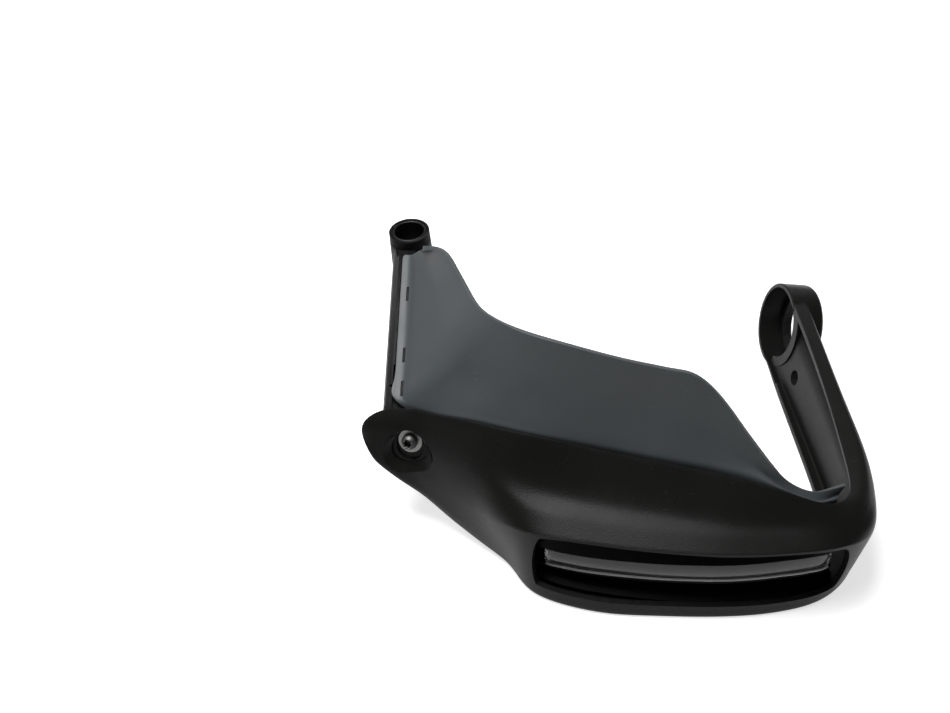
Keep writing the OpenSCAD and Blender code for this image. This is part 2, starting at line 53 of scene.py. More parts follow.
def setCamera():
    pitch, yaw, roll = (math.radians(view[key]) for key in ("pitch", "yaw", "roll"))
    ahead = Vector((math.sin(yaw) * math.cos(pitch), math.cos(yaw) * math.cos(pitch), -math.sin(pitch)))
    right = Vector((math.cos(yaw), -math.sin(yaw), 0))
    up = right.cross(ahead)
    side = math.cos(roll) * right + math.sin(roll) * up
    top = -math.sin(roll) * right + math.cos(roll) * up
    data = bpy.data.cameras.new("photoCamera")
    data.sensor_width = view["sensor"]
    data.lens = view["lens"]
    data.clip_start = view["near"]
    cam = bpy.data.objects.new("photoCamera", data)
    bpy.context.scene.collection.objects.link(cam)
    cam.matrix_world = Matrix((
        (side.x, top.x, -ahead.x, view["eye"][0]),
        (side.y, top.y, -ahead.y, view["eye"][1]),
        (side.z, top.z, -ahead.z, view["eye"][2]),
        (0, 0, 0, 1)))
    bpy.context.scene.camera = cam


setCamera()


# smooth curves through points, and the small mesh helpers
def knot(p, i):
    if i < 0:
        return p[0] * 2 - p[1]
    if i >= len(p):
        return p[-1] * 2 - p[-2]
    return p[i]


def bend(p, u):
    i = max(0, min(int(math.floor(u)), len(p) - 2))
    t = u - i
    a, b, c, d = knot(p, i - 1), p[i], knot(p, i + 1), knot(p, i + 2)
    return b + (c - a + (a * 2 - b * 5 + c * 4 - d + ((b - c) * 3 + d - a) * t) * t) * (0.5 * t)


def lookup(table, x):
    if x <= table[0][0]:
        return table[0][1]
    for (x0, y0), (x1, y1) in zip(table, table[1:]):
        if x <= x1:
            return y0 + (y1 - y0) * (x - x0) / (x1 - x0)
    return table[-1][1]


def ease(a, b, u):
    t = max(0.0, min(1.0, (u - a) / (b - a)))
    return t * t * (3 - 2 * t)


def stations(counts):
    out = [k + s / n for k, n in enumerate(counts) for s in range(n)]
    return out + [len(counts)]


def vectors(rail):
    return [Vector(p) for p in rail]


def slope(grid, i, j):
    m, n = len(grid), len(grid[0])
    du = grid[min(i + 1, m - 1)][j] - grid[max(i - 1, 0)][j]
    dv = grid[i][min(j + 1, n - 1)] - grid[i][max(j - 1, 0)]
    return dv.cross(du).normalized()


def newPiece(name, bm):
    bmesh.ops.recalc_face_normals(bm, faces=bm.faces)
    mesh = bpy.data.meshes.new(name)
    bm.to_mesh(mesh)
    bm.free()
    piece = bpy.data.objects.new(name, mesh)
    bpy.context.scene.collection.objects.link(piece)
    return piece


def skinPiece(name, outer, inner, creaseRows=(), rimCrease=0.6):  # closed shell between two grids
    bm = bmesh.new()
    crease = bm.edges.layers.float.new("crease_edge")
    m, n = len(outer), len(outer[0])
    o = [[bm.verts.new(place(p)) for p in row] for row in outer]
    q = [[bm.verts.new(place(p)) for p in row] for row in inner]
    for i in range(m - 1):
        for j in range(n - 1):
            bm.faces.new((o[i][j], o[i + 1][j], o[i + 1][j + 1], o[i][j + 1]))
            bm.faces.new((q[i][j], q[i][j + 1], q[i + 1][j + 1], q[i + 1][j]))
    for i in range(m - 1):
        bm.faces.new((q[i][0], q[i + 1][0], o[i + 1][0], o[i][0]))
        bm.faces.new((o[i][n - 1], o[i + 1][n - 1], q[i + 1][n - 1], q[i][n - 1]))
    for j in range(n - 1):
        bm.faces.new((q[0][j], o[0][j], o[0][j + 1], q[0][j + 1]))
        bm.faces.new((o[m - 1][j], q[m - 1][j], q[m - 1][j + 1], o[m - 1][j + 1]))
    for grid in (o, q):
        for i in range(m - 1):
            for j in (0, n - 1):
                bm.edges.get((grid[i][j], grid[i + 1][j]))[crease] = rimCrease
        for j in range(n - 1):
            for i in (0, m - 1):
                bm.edges.get((grid[i][j], grid[i][j + 1]))[crease] = rimCrease
    for j, lo, hi, value in creaseRows:
        for i in range(lo, min(hi, m - 1)):
            bm.edges.get((o[i][j], o[i + 1][j]))[crease] = value
    return newPiece(name, bm)


def lathe(name, profile, at, along, segments, wave=None):  # a turned solid, wave changes its radius around
    bm = bmesh.new()
    axis = Vector(along).normalized()
    side = axis.orthogonal().normalized()
    other = axis.cross(side)
    base = Vector(at)
    rings = []
    for r, z in profile:
        if r == 0:
            rings.append([bm.verts.new(place(base + axis * z))])
            continue
        ring = []
        for k in range(segments):
            a = 2 * math.pi * k / segments
            out = side * math.cos(a) + other * math.sin(a)
            spot = base + axis * z + out * (r * (wave(a) if wave else 1))
            ring.append(bm.verts.new(place(spot)))
        rings.append(ring)
    closed = len(rings[0]) > 1 and len(rings[-1]) > 1
    pairs = list(zip(rings, rings[1:])) + ([(rings[-1], rings[0])] if closed else [])
    for a, b in pairs:
        for k in range(segments):
            k2 = (k + 1) % segments
            if len(a) == 1:
                bm.faces.new((a[0], b[k], b[k2]))
            elif len(b) == 1:
                bm.faces.new((a[k], b[0], a[k2]))
            else:
                bm.faces.new((a[k], b[k], b[k2], a[k2]))
    return newPiece(name, bm)


def rod(name, r, low, high, at, along, segments):
    return lathe(name, [(0, low), (r, low), (r, high), (0, high)], at, along, segments)


def prism(name, sections):  # closed solid through matching loops of points
    bm = bmesh.new()
    loops = [[bm.verts.new(place(p)) for p in loop] for loop in sections]
    n = len(loops[0])
    for a, b in zip(loops, loops[1:]):
        for j in range(n):
            bm.faces.new((a[j], b[j], b[(j + 1) % n], a[(j + 1) % n]))
    bm.faces.new(loops[0])
    bm.faces.new(loops[-1][::-1])
    return newPiece(name, bm)


def applied(piece):
    dg = bpy.context.evaluated_depsgraph_get()
    mesh = bpy.data.meshes.new_from_object(piece.evaluated_get(dg))
    piece.modifiers.clear()
    piece.data = mesh
    return piece


def subdivide(piece, levels):
    mod = piece.modifiers.new("subdivide", "SUBSURF")
    mod.levels = mod.render_levels = levels
    mod.uv_smooth = "NONE"
    return applied(piece)


def combine(piece, tools, how):
    for tool in tools:
        mod = piece.modifiers.new("cut", "BOOLEAN")
        mod.operation = how
        mod.solver = "MANIFOLD"
        mod.object = tool
        applied(piece)
    for tool in tools:
        bpy.data.objects.remove(tool)
    return piece


def softEdges(piece, angle=38):
    mesh = piece.data
    mesh.polygons.foreach_set("use_smooth", [True] * len(mesh.polygons))
    mesh.set_sharp_from_angle(angle=math.radians(angle))
    mesh.update()
    return piece


def bevelled(piece, width, segments=2, angle=35):
    mod = piece.modifiers.new("edge", "BEVEL")
    mod.width = width * mm
    mod.segments = segments
    mod.limit_method = "ANGLE"
    mod.angle_limit = math.radians(angle)
    mod.use_clamp_overlap = True
    mod.harden_normals = False
    return applied(piece)


def finishPiece(piece, material, nodes):
    piece.data.materials.clear()
    piece.data.materials.append(material)
    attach(piece, "root")
    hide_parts(*nodes)
    return piece


# shader groups and the nodes they are made of
def feed(tree, socket, v):  # sets a number or a colour, and links anything else
    if isinstance(v, (int, float)):
        socket.default_value = v
    elif isinstance(v, tuple):
        socket.default_value = (*v, 1)
    else:
        tree.links.new(v, socket)


def newGroup(name, inputs, outputs):  # every group takes a Vector and the numbers listed
    group = bpy.data.node_groups.new(name, "ShaderNodeTree")
    group.interface.new_socket(name="Vector", in_out="INPUT", socket_type="NodeSocketVector")
    for label, value in inputs.items():
        socket = group.interface.new_socket(name=label, in_out="INPUT", socket_type="NodeSocketFloat")
        socket.default_value = value
    for label in outputs:
        group.interface.new_socket(name=label, in_out="OUTPUT", socket_type="NodeSocketFloat")
    given = group.nodes.new("NodeGroupInput").outputs
    result = group.nodes.new("NodeGroupOutput").inputs
    return group, given, result


def placeGroup(tree, group, **values):
    node = tree.nodes.new("ShaderNodeGroup")
    node.node_tree = group
    for key, v in values.items():
        feed(tree, node.inputs[key], v)
    return node.outputs


def mathNode(tree, operation, a, b=None, clamp=False):
    node = tree.nodes.new("ShaderNodeMath")
    node.operation = operation
    node.use_clamp = clamp
    feed(tree, node.inputs[0], a)
    if b is not None:
        feed(tree, node.inputs[1], b)
    return node.outputs[0]


def times(tree, a, b, clamp=False):
    return mathNode(tree, "MULTIPLY", a, b, clamp)


def plus(tree, a, b, clamp=False):
    return mathNode(tree, "ADD", a, b, clamp)


def above(tree, a, b):
    return mathNode(tree, "GREATER_THAN", a, b)


def noiseNode(tree, vector, scale, detail=2.0, rough=0.5):
    node = tree.nodes.new("ShaderNodeTexNoise")
    for key, v in (("Vector", vector), ("Scale", scale), ("Detail", detail), ("Roughness", rough)):
        feed(tree, node.inputs[key], v)
    return node.outputs["Fac"]


def stretched(tree, vector, scale, turned=(0, 0, 0)):
    node = tree.nodes.new("ShaderNodeMapping")
    node.inputs["Rotation"].default_value = turned
    node.inputs["Scale"].default_value = scale
    feed(tree, node.inputs["Vector"], vector)
    return node.outputs["Vector"]


def rising(tree, value, low, high):  # 0 up to low, 1 from high on
    node = tree.nodes.new("ShaderNodeMapRange")
    for key, v in (("Value", value), ("From Min", low), ("From Max", high)):
        feed(tree, node.inputs[key], v)
    return node.outputs["Result"]


def blendColour(tree, factor, a, b):
    node = tree.nodes.new("ShaderNodeMix")
    node.data_type = "RGBA"
    for socket, v in ((node.inputs["Factor"], factor), (node.inputs[6], a), (node.inputs[7], b)):
        feed(tree, socket, v)
    return node.outputs[2]


grainLook = {"fine": 0.6, "cells": 0.5, "cellScale": 0.55, "mottleScale": 46.0}
rubLook = {"patchScale": 240.0, "patchFrom": 0.3, "patchGain": 2.2}
dustLook = {"speckScale": 330.0, "speckSize": 0.07, "fieldScale": 90.0, "fieldFrom": 0.6,
            "scuffTurn": (0.5, 0.3, 0.7), "scuffStretch": (14, 340, 120), "scuffScale": 3.0,
            "scuffFrom": 0.69, "areaScale": 28.0, "areaFrom": 0.56}


def makeGrainGroup():  # fine spark-eroded grain of moulded plastic, and a broad mottle
    group, given, result = newGroup("mouldGrain", {"Scale": 2600.0}, ("Height", "Mottle"))
    fine = noiseNode(group, given["Vector"], given["Scale"], 3.0, 0.6)
    cell = group.nodes.new("ShaderNodeTexVoronoi")
    cell.feature = "SMOOTH_F1"
    feed(group, cell.inputs["Vector"], given["Vector"])
    feed(group, cell.inputs["Scale"], times(group, given["Scale"], grainLook["cellScale"]))
    cells = times(group, cell.outputs["Distance"], grainLook["cells"])
    feed(group, result["Height"], plus(group, times(group, fine, grainLook["fine"]), cells))
    broad = noiseNode(group, given["Vector"], grainLook["mottleScale"], 3.0, 0.55)
    feed(group, result["Mottle"], mathNode(group, "SUBTRACT", broad, 0.5))
    return group


def makeRubGroup():  # pale rubbed edges, from how far the surface stands out
    group, given, result = newGroup("edgeRub", {"Pointiness": 0.5, "Start": 0.53, "Gain": 9.0}, ("Mask",))
    over = mathNode(group, "SUBTRACT", given["Pointiness"], given["Start"])
    edge = times(group, over, given["Gain"], clamp=True)
    patches = noiseNode(group, given["Vector"], rubLook["patchScale"], 4.0, 0.65)
    patches = mathNode(group, "SUBTRACT", patches, rubLook["patchFrom"])
    patches = times(group, patches, rubLook["patchGain"], clamp=True)
    feed(group, result["Mask"], times(group, edge, patches, clamp=True))
    return group


def makeDustGroup():  # specks and light scuffs, each kept to some areas
    group, given, result = newGroup("dustAndScuffs", {"Amount": 0.5, "Scuffs": 0.5}, ("Specks", "Lines"))
    where = given["Vector"]
    cell = group.nodes.new("ShaderNodeTexVoronoi")
    feed(group, cell.inputs["Vector"], where)
    feed(group, cell.inputs["Scale"], dustLook["speckScale"])
    dot = mathNode(group, "LESS_THAN", cell.outputs["Distance"], dustLook["speckSize"])
    field = above(group, noiseNode(group, where, dustLook["fieldScale"]), dustLook["fieldFrom"])
    feed(group, result["Specks"], times(group, times(group, dot, field), given["Amount"]))
    drawn = stretched(group, where, dustLook["scuffStretch"], dustLook["scuffTurn"])
    thin = above(group, noiseNode(group, drawn, dustLook["scuffScale"], 3.0, 0.7), dustLook["scuffFrom"])
    area = above(group, noiseNode(group, where, dustLook["areaScale"]), dustLook["areaFrom"])
    feed(group, result["Lines"], times(group, times(group, thin, area), given["Scuffs"]))
    return group


grainGroup = makeGrainGroup()
rubGroup = makeRubGroup()
dustGroup = makeDustGroup()


# finishes
def newFinish(name):
    mat = bpy.data.materials.new(name)
    mat.use_nodes = True
    tree = mat.node_tree
    return mat, tree, tree.nodes["Principled BSDF"]


def objectSpace(tree):
    return tree.nodes.new("ShaderNodeTexCoord").outputs["Object"]


def alongX(tree, where):
    split = tree.nodes.new("ShaderNodeSeparateXYZ")
    feed(tree, split.inputs[0], where)
    return split.outputs["X"]


def addBump(tree, shader, height, distance, strength):
    bump = tree.nodes.new("ShaderNodeBump")
    for key, v in (("Height", height), ("Distance", distance), ("Strength", strength)):
        feed(tree, bump.inputs[key], v)
    feed(tree, shader.inputs["Normal"], bump.outputs["Normal"])


plasticLook = {"darker": 0.72, "lighter": 1.28, "markGain": 1.6, "markLift": 0.02, "mottleRough": 0.16,
               "markRough": 0.2, "rubStart": 0.53, "rubGain": 9.0, "bump": 0.8}
metalLook = {"lineScale": 900.0, "spotScale": 420.0, "darker": 0.8, "lineRough": 0.22, "smoother": 0.1,
             "depth": 0.00003, "bump": 0.5}
# the near-white colour at both ends of the strip is painted glint
clearLook = {"through": 0.5, "ior": 1.49, "specular": 0.16, "lines": (14, 14, 900), "hazeScale": 700.0,
             "dark": (0.006, 0.006, 0.0058), "light": (0.05, 0.05, 0.0495), "frostAndGlint": (0.95, 0.95, 0.95),
             "middle": 0.1375, "endsFrom": 0.063, "endsTo": 0.066, "frostRough": 0.4, "frostBump": 1.5,
             "rough": 0.08, "hazeRough": 0.12, "depth": 0.0001, "bump": 0.35}
# colours of the painted highlight along the strip's lower edge
paintedHighlightLook = {"from": 0.08, "to": 0.19, "left": (0.12, 0.12, 0.12), "right": (0.42, 0.42, 0.42),
            "spots": (0.2, 0.2, 0.2), "spotScale": 90.0, "spotShare": 0.4, "rough": 0.15, "spotRough": 0.2}


def moulded(name, colour, pale, rough, grain, depth, rub, specks, scuffs, specular, mottle=0.35):
    mat, tree, shader = newFinish(name)
    look = plasticLook
    where = objectSpace(tree)
    pointed = tree.nodes.new("ShaderNodeNewGeometry").outputs["Pointiness"]
    grained = placeGroup(tree, grainGroup, Vector=where, Scale=grain)
    rubbed = placeGroup(tree, rubGroup, Vector=where, Pointiness=pointed, Start=look["rubStart"],
                        Gain=look["rubGain"])
    dust = placeGroup(tree, dustGroup, Vector=where, Amount=specks, Scuffs=scuffs)
    darker = tuple(c * look["darker"] for c in colour)
    lighter = tuple(c * look["lighter"] for c in colour)
    dusty = tuple(c * look["markGain"] + look["markLift"] for c in pale)
    marks = plus(tree, dust["Specks"], dust["Lines"], clamp=True)
    base = blendColour(tree, plus(tree, times(tree, grained["Mottle"], mottle), 0.5), darker, lighter)
    base = blendColour(tree, times(tree, rubbed["Mask"], rub), base, pale)
    feed(tree, shader.inputs["Base Color"], blendColour(tree, marks, base, dusty))
    dull = plus(tree, times(tree, grained["Mottle"], look["mottleRough"]), rough)
    dull = plus(tree, dull, times(tree, marks, look["markRough"]), clamp=True)
    feed(tree, shader.inputs["Roughness"], dull)
    feed(tree, shader.inputs["Specular IOR Level"], specular)
    addBump(tree, shader, grained["Height"], depth, look["bump"])
    return mat


def metal(name, colour, rough, stretch=(1, 1, 14)):
    mat, tree, shader = newFinish(name)
    look = metalLook
    where = objectSpace(tree)
    lines = noiseNode(tree, stretched(tree, where, stretch), look["lineScale"], 3.0, 0.6)
    spots = noiseNode(tree, where, look["spotScale"], 3.0, 0.6)
    darker = tuple(c * look["darker"] for c in colour)
    feed(tree, shader.inputs["Metallic"], 1.0)
    feed(tree, shader.inputs["Base Color"], blendColour(tree, spots, darker, colour))
    dull = plus(tree, times(tree, lines, look["lineRough"]), rough - look["smoother"])
    feed(tree, shader.inputs["Roughness"], dull)
    addBump(tree, shader, lines, look["depth"], look["bump"])
    return mat


def clearPlastic(name):  # clear strip with drawn lines; at its two ends it is frosted, with white specks painted on as glints
    mat, tree, shader = newFinish(name)
    look = clearLook
    where = objectSpace(tree)
    for key, v in (("Transmission Weight", look["through"]), ("Specular IOR Level", look["specular"]),
                   ("IOR", look["ior"])):
        feed(tree, shader.inputs[key], v)
    fromMiddle = mathNode(tree, "ABSOLUTE", mathNode(tree, "SUBTRACT", alongX(tree, where), look["middle"]))
    ends = rising(tree, fromMiddle, look["endsFrom"], look["endsTo"])
    lines = noiseNode(tree, stretched(tree, where, look["lines"]), 1.0)
    haze = noiseNode(tree, where, look["hazeScale"], 3.0, 0.7)
    # white specks at both ends: painted glints, on a rougher, bumped frost
    frostAndGlint = times(tree, above(tree, haze, 0.5), ends)
    tone = blendColour(tree, lines, look["dark"], look["light"])
    feed(tree, shader.inputs["Base Color"], blendColour(tree, frostAndGlint, tone, look["frostAndGlint"]))
    dull = plus(tree, times(tree, haze, look["hazeRough"]), look["rough"])
    dull = plus(tree, dull, times(tree, frostAndGlint, look["frostRough"]))
    feed(tree, shader.inputs["Roughness"], dull)
    height = plus(tree, lines, times(tree, frostAndGlint, look["frostBump"]))
    addBump(tree, shader, height, look["depth"], look["bump"])
    return mat


def paintedHighlightPlastic(name):  # a bead along the strip's lower edge, coloured as a painted highlight and painted brighter to the right
    mat, tree, shader = newFinish(name)
    look = paintedHighlightLook
    where = objectSpace(tree)
    # painted highlight: dark grey at the left, bright at the right
    along = rising(tree, alongX(tree, where), look["from"], look["to"])
    spots = noiseNode(tree, where, look["spotScale"])
    tone = blendColour(tree, along, look["left"], look["right"])
    tone = blendColour(tree, times(tree, spots, look["spotShare"]), tone, look["spots"])
    feed(tree, shader.inputs["Base Color"], tone)
    dull = plus(tree, times(tree, spots, look["spotRough"]), look["rough"])
    feed(tree, shader.inputs["Roughness"], dull)
    return mat


print("guard: finishes")
framePlastic = moulded(
    "blackGrainedPlastic", colour=(0.0062, 0.0062, 0.0059), pale=(0.035, 0.035, 0.036), rough=0.37,
    grain=2700.0, depth=0.00013, rub=0.5, specks=0.35, scuffs=0.3, specular=0.105)
shieldPlastic = moulded(
    "slateShieldPlastic", colour=(0.046, 0.053, 0.056), pale=(0.17, 0.185, 0.19), rough=0.46,
    grain=3200.0, depth=0.00004, rub=0.6, specks=0.2, scuffs=0.16, mottle=0.2, specular=0.35)
bracketPlastic = moulded(
    "blackBracketPlastic", colour=(0.0045, 0.0045, 0.0046), pale=(0.045, 0.045, 0.047), rough=0.42,
    grain=2000.0, depth=0.00006, rub=0.6, specks=0.3, scuffs=0.2, specular=0.05)
carrierPlastic = moulded(
    "glossBlackCarrier", colour=(0.0018, 0.0018, 0.002), pale=(0.01, 0.01, 0.011), rough=0.42,
    grain=4200.0, depth=0.00001, rub=0.2, specks=0.1, scuffs=0.05, mottle=0.2, specular=0.03)
sleeveMetal = metal("blackOxideSleeve", colour=(0.035, 0.035, 0.037), rough=0.38)
screwSteel = metal("brightZincSteel", colour=(0.13, 0.13, 0.128), rough=0.5)
washerSteel = metal("brushedWasherSteel", colour=(0.26, 0.26, 0.255), rough=0.4, stretch=(14, 1, 1))
rearSteel = metal("darkScrewSteel", colour=(0.1, 0.1, 0.105), rough=0.36)
insertBrass = metal("turnedBrass", colour=(0.8, 0.56, 0.25), rough=0.32)
lensPlastic = clearPlastic("clearStripPlastic")
highlightBeadPlastic = paintedHighlightPlastic("paintedHighlightBead")

# frame: the black moulding, lofted through the same form lines as the solid
guardFrame = {
    "wall": 2.8, "toeRound": 4.6, "toeOut": 1.4, "lobeSize": 0.25, "lobeTo": 5, "flange": 10.0, "levels": 2,
    "ringFace": (202.8, -6.5, 26.4), "ringTilt": 12.6, "ringYaw": 7.0, "ringOd": 47.0, "ringLength": 18.0,
    "ringRound": 3.0, "ringInset": 1.2, "pocketD": 42.4, "pocketDepth": 13.0, "boreD": 35.0,
    "webHoleD": 8.5, "webHoleAt": (-35.5, -7.5), "webBossR": 6.65, "webBossZ": (4.8, 9.2),
    "arcR": 18.2, "arcFrom": -9, "lipCrease": 0.8, "armCrease": 0.75,
    "webFrom": (14.6, 15.4), "webTo": (17.1, 17.6), "liningFrom": (14, 15), "liningTop": 8.6, "liningMore": 5,
}
tilt, turn = math.radians(guardFrame["ringTilt"]), math.radians(guardFrame["ringYaw"])
ringX = Vector((math.cos(tilt) * math.cos(turn), math.cos(tilt) * math.sin(turn), -math.sin(tilt)))
ringY = Vector((-math.sin(turn), math.cos(turn), 0))
ringZ = ringX.cross(ringY)
ringFace = Vector(guardFrame["ringFace"])
ringR = guardFrame["ringOd"] / 2 - guardFrame["ringInset"]
rimRail = vectors([
    (-17, -105.5, 57.6), (-12.4, -104.5, 61.4), (-2.6, -104, 65), (8, -105.7, 65),
    (22, -112.5, 67.8), (38, -119.5, 70.6), (55, -126, 71.2), (73, -130, 70),
    (98, -134.8, 66.8), (127, -141.8, 65.4), (153, -147, 63), (177, -153.5, 60),
    (198, -157.8, 54.8), (209, -151, 50.5), (213.3, -139, 48), (214.3, -118, 46.5),
    (213.8, -83, 46.5), (211.5, -43, 47.8)]) + [ringFace + ringZ * ringR + ringX * 0.6]
valleyRail = vectors([
    (-18.4, -107, 55.5), (-14, -107.5, 58.5), (-3, -109.5, 60), (8, -112, 58.5),
    (22, -119, 58.5), (37, -127.5, 58.2), (53, -136, 56.6), (71, -142.8, 52.2),
    (98, -150.8, 51.7), (127, -157, 51.1), (153, -162, 50.4), (178, -163.2, 49.8),
    (200, -163.6, 50.4), (213, -154.5, 49.8), (218, -140.5, 48.3), (219.3, -118, 46.8),
    (218, -83, 46.6), (215.4, -43, 47.1)]) + [ringFace + ringZ * ringR + ringX * 4.4]
crestRail = vectors([
    (-18.8, -108.5, 53), (-14, -111, 53), (-3, -114, 52), (8, -117, 50),
    (22, -124.5, 48), (37, -134.3, 47.3), (52, -146, 48.6), (69, -155, 47.4),
    (98, -162, 47.7), (127, -167, 47.7), (153, -170.4, 47.3), (179, -170, 46.6),
    (203, -168.4, 47), (217.4, -158.4, 46), (222.6, -142.2, 45.8), (224.3, -118, 45.6),
    (221.6, -83, 45.6), (218.6, -43, 46.3)]) + [ringFace + ringZ * ringR + ringX * 8.6]
lipRail = vectors([
    (-18.4, -110, 50.5), (-14, -114, 47.5), (-2.5, -118, 43), (9, -121.5, 38),
    (23, -129, 34), (38, -140, 34.2), (51, -153.6, 37.6), (67.5, -164.4, 42.6),
    (97, -171.2, 43.9), (127, -175.9, 44.2), (153, -178, 44.3), (180, -176.9, 43.8),
    (204.4, -173.2, 43.5), (220.3, -162.1, 38.8), (225.8, -143, 37.2), (226.2, -118, 38.2),
    (222.8, -83, 39), (218.8, -43, 40)]) + [ringFace + ringZ * 17 + ringX * guardFrame["flange"]]
toeRail = vectors([
    (-17.6, -111, 48.6), (-13.3, -116, 40.6), (-2.4, -120.3, 31.2), (10.6, -123.3, 20.4),
    (25, -131.2, 10.6), (40, -141.2, 5), (54, -151.8, 2), (67, -168, 0.8),
    (96, -177.6, 0.5), (126, -179.8, 0.35), (154, -180.2, 0.35), (178, -178.2, 0.5),
    (199, -172.4, 1), (213, -160.6, 2), (218.6, -143, 3), (218.5, -118, 3.2),
    (214.3, -83, 3), (210.2, -43, 2.2)]) + [ringFace - ringZ * ringR + ringX * guardFrame["flange"]]
heelRail = vectors([
    (-15.6, -109, 49.4), (-10, -112.6, 43), (0, -116, 35), (13, -118.5, 25.5),
    (28, -125, 15.5), (44.5, -133.5, 9.5), (60, -142, 5.5), (76, -153, 2.4),
    (100, -161.5, 0.9), (127, -165, 0.5), (151, -165.5, 0.5), (173, -163.5, 0.8),
    (189, -157.5, 1.6), (199.5, -149, 3), (206.3, -136, 4.2), (208.2, -118, 4.8),
    (205.3, -83, 4.6), (201.3, -43, 4.2)]) + [ringFace - ringZ * ringR + ringX * 0.6]
# steps in each span along the bow, and the rows across the form lines
spanSteps = [2, 4, 4, 4, 3, 3, 3, 3, 3, 3, 3, 3, 3, 4, 4, 3, 2, 3]
skinRows = [0, 0.5, 1, 1.4, 1.75, 2, 2.35, 2.7, 3, 3.12, 3.22, 3.78, 3.88, 4, 4.5, 5, 5.5, 6]
swellTable = [(11, 0), (12, 0.4), (13, 1), (14, 1), (15, 0.6), (16, 0)]  # the foot is fuller round the corner
webTable = [(14.5, 6), (15.2, 5.2), (16, 4.8), (17, 4), (17.6, 2.6), (18, 2)]  # where the arm's web lies
liningTable = [  # share of the width, or beyond the web, and the height
    (0.35, 0, 1), (0.7, 0, 1), (1, 0, 0.98), (0, 4, 0.82), (0, 2, 0.63), (0, 0, 0.34), (0, 0, 0.12),
    (0, 0, -0.1), (0, 0, -0.22), (0, 0, -0.34), (0, 0, -0.5), (0, 0, -0.6), (0, 0, -0.7), (0, 0, -0.84),
    (0, 0, -0.97), (0, -1, -1)]
lipEdge = {"from": (5.2, 7.0), "to": (12.2, 13.2), "row": 3, "end": 3.88}  # form line rows, bow stations


def outOf(u):
    t = bend(toeRail, u + 0.05) - bend(toeRail, u - 0.05)
    return Vector((t.y, -t.x, 0)).normalized()


def frameSection(u):
    toe, out = bend(toeRail, u), outOf(u)
    lobe, swell = min(1, guardFrame["lobeSize"] + u / guardFrame["lobeTo"]), lookup(swellTable, u)
    rise = Vector((0, 0, (guardFrame["toeRound"] + swell) * lobe))
    roll = toe + out * (guardFrame["toeOut"] * lobe + swell) + rise
    return [bend(rimRail, u), bend(valleyRail, u), bend(crestRail, u), bend(lipRail, u), roll, toe,
            bend(heelRail, u)]


def lipPoint(section, u, v):  # the ledge runs nearly straight into a tight lip above the slot
    p = bend(section, v)
    lip, end = lipEdge["row"], lipEdge["end"]
    share = ease(*lipEdge["from"], u) * (1 - ease(*lipEdge["to"], u))
    if share == 0 or not lip - 1 < v < end:
        return p
    far, span = (section[lip - 1], 1) if v < lip else (bend(section, end), end - lip)
    straight = section[lip] + (far - section[lip]) * (abs(v - lip) / span)
    return p + (straight - p) * share


def armAxes(u):
    top, low, out = bend(rimRail, u), bend(heelRail, u), outOf(u)
    z = (top - low).normalized()
    return (top + low) / 2, (out - z * out.dot(z)).normalized(), z, (top - low).length / 2


def skinRow(points, u):  # the arm's outer side is pushed in to make its web
    mid, out = armAxes(u)[:2]
    depth = lookup(webTable, u) + guardFrame["wall"]
    share = ease(*guardFrame["webFrom"], u) * (1 - ease(*guardFrame["webTo"], u))
    row = []
    for p, v in zip(points, skinRows):
        if 3.15 < v < 3.85:
            reach = (p - mid).dot(out)
            p = p + out * (min(reach, depth) - reach) * share
        row.append(p)
    return row


def liningRow(form, i, u):  # the inside: a wall's thickness in, and on the arm a channel
    mid, out, z, half = armAxes(u)
    depth = lookup(webTable, u)
    share = ease(*guardFrame["liningFrom"], u)
    wall = guardFrame["wall"] * min(1, 0.4 + i * 0.3)
    last = len(skinRows) - 1
    row = []
    for j in range(last + 1):
        p = form[i][j] - slope(form, max(1, i), j) * wall
        if 0 < j < last and share > 0:
            top, beyond, height = liningTable[j - 1]
            width = min(guardFrame["liningTop"], depth + guardFrame["liningMore"])
            reach = top * width if top > 0 else depth + beyond
            q = mid + out * reach + z * height * (half - guardFrame["wall"])
            p = p + (q - p) * share
        row.append(p)
    return row


def frameGrids():
    us = stations(spanSteps)
    form = [[lipPoint(frameSection(u), u, v) for v in skinRows] for u in us]
    outer = [skinRow(points, u) for points, u in zip(form, us)]
    return outer, [liningRow(form, i, u) for i, u in enumerate(us)]


print("guard: frame")
outerSkin, innerSkin = frameGrids()
armFrom, lipFrom, lipTo = (sum(spanSteps[:k]) for k in (14, 6, 13))
creases = [(j, armFrom, len(outerSkin), guardFrame["armCrease"]) for j, v in enumerate(skinRows) if 3 < v < 4]
creases.append((skinRows.index(3), lipFrom, lipTo, guardFrame["lipCrease"]))
guard = skinPiece("guardFrame", outerSkin, innerSkin, creaseRows=creases)
subdivide(guard, guardFrame["levels"])

screwOut = Vector((-0.2, -0.894, 0.4)).normalized()
screwSeat = Vector((5.9, -111.2, 49.2))
bowl = {"r": 12.6, "depth": 5.4, "seatR": 6.9, "padR": 8.4, "padL": 4.2, "backR": 12.2, "backZ": 1.4,
        "holeR": 3.15, "lean": 0.6, "leanTo": 8, "drop": 2.6, "sides": 96}
bowlSphere = (bowl["r"] ** 2 + bowl["depth"] ** 2) / (2 * bowl["depth"])


def ballHeight(r, ball):
    return bowlSphere - math.sqrt(ball * ball - r * r)


def ringPoint(x, y, z):
    return ringFace + ringY * x + ringZ * y + ringX * z


def barEndRing():
    r, rounded, length = guardFrame["ringOd"] / 2, guardFrame["ringRound"], guardFrame["ringLength"]
    profile = [(0, 0), (r - 0.5, 0), (r, 0.5), (r, length - rounded)]
    for a in (math.radians(15 * k) for k in range(1, 7)):
        profile.append((r - rounded + rounded * math.cos(a), length - rounded + rounded * math.sin(a)))
    return lathe("ringBody", profile + [(0, length)], ringFace, ringX, 128)


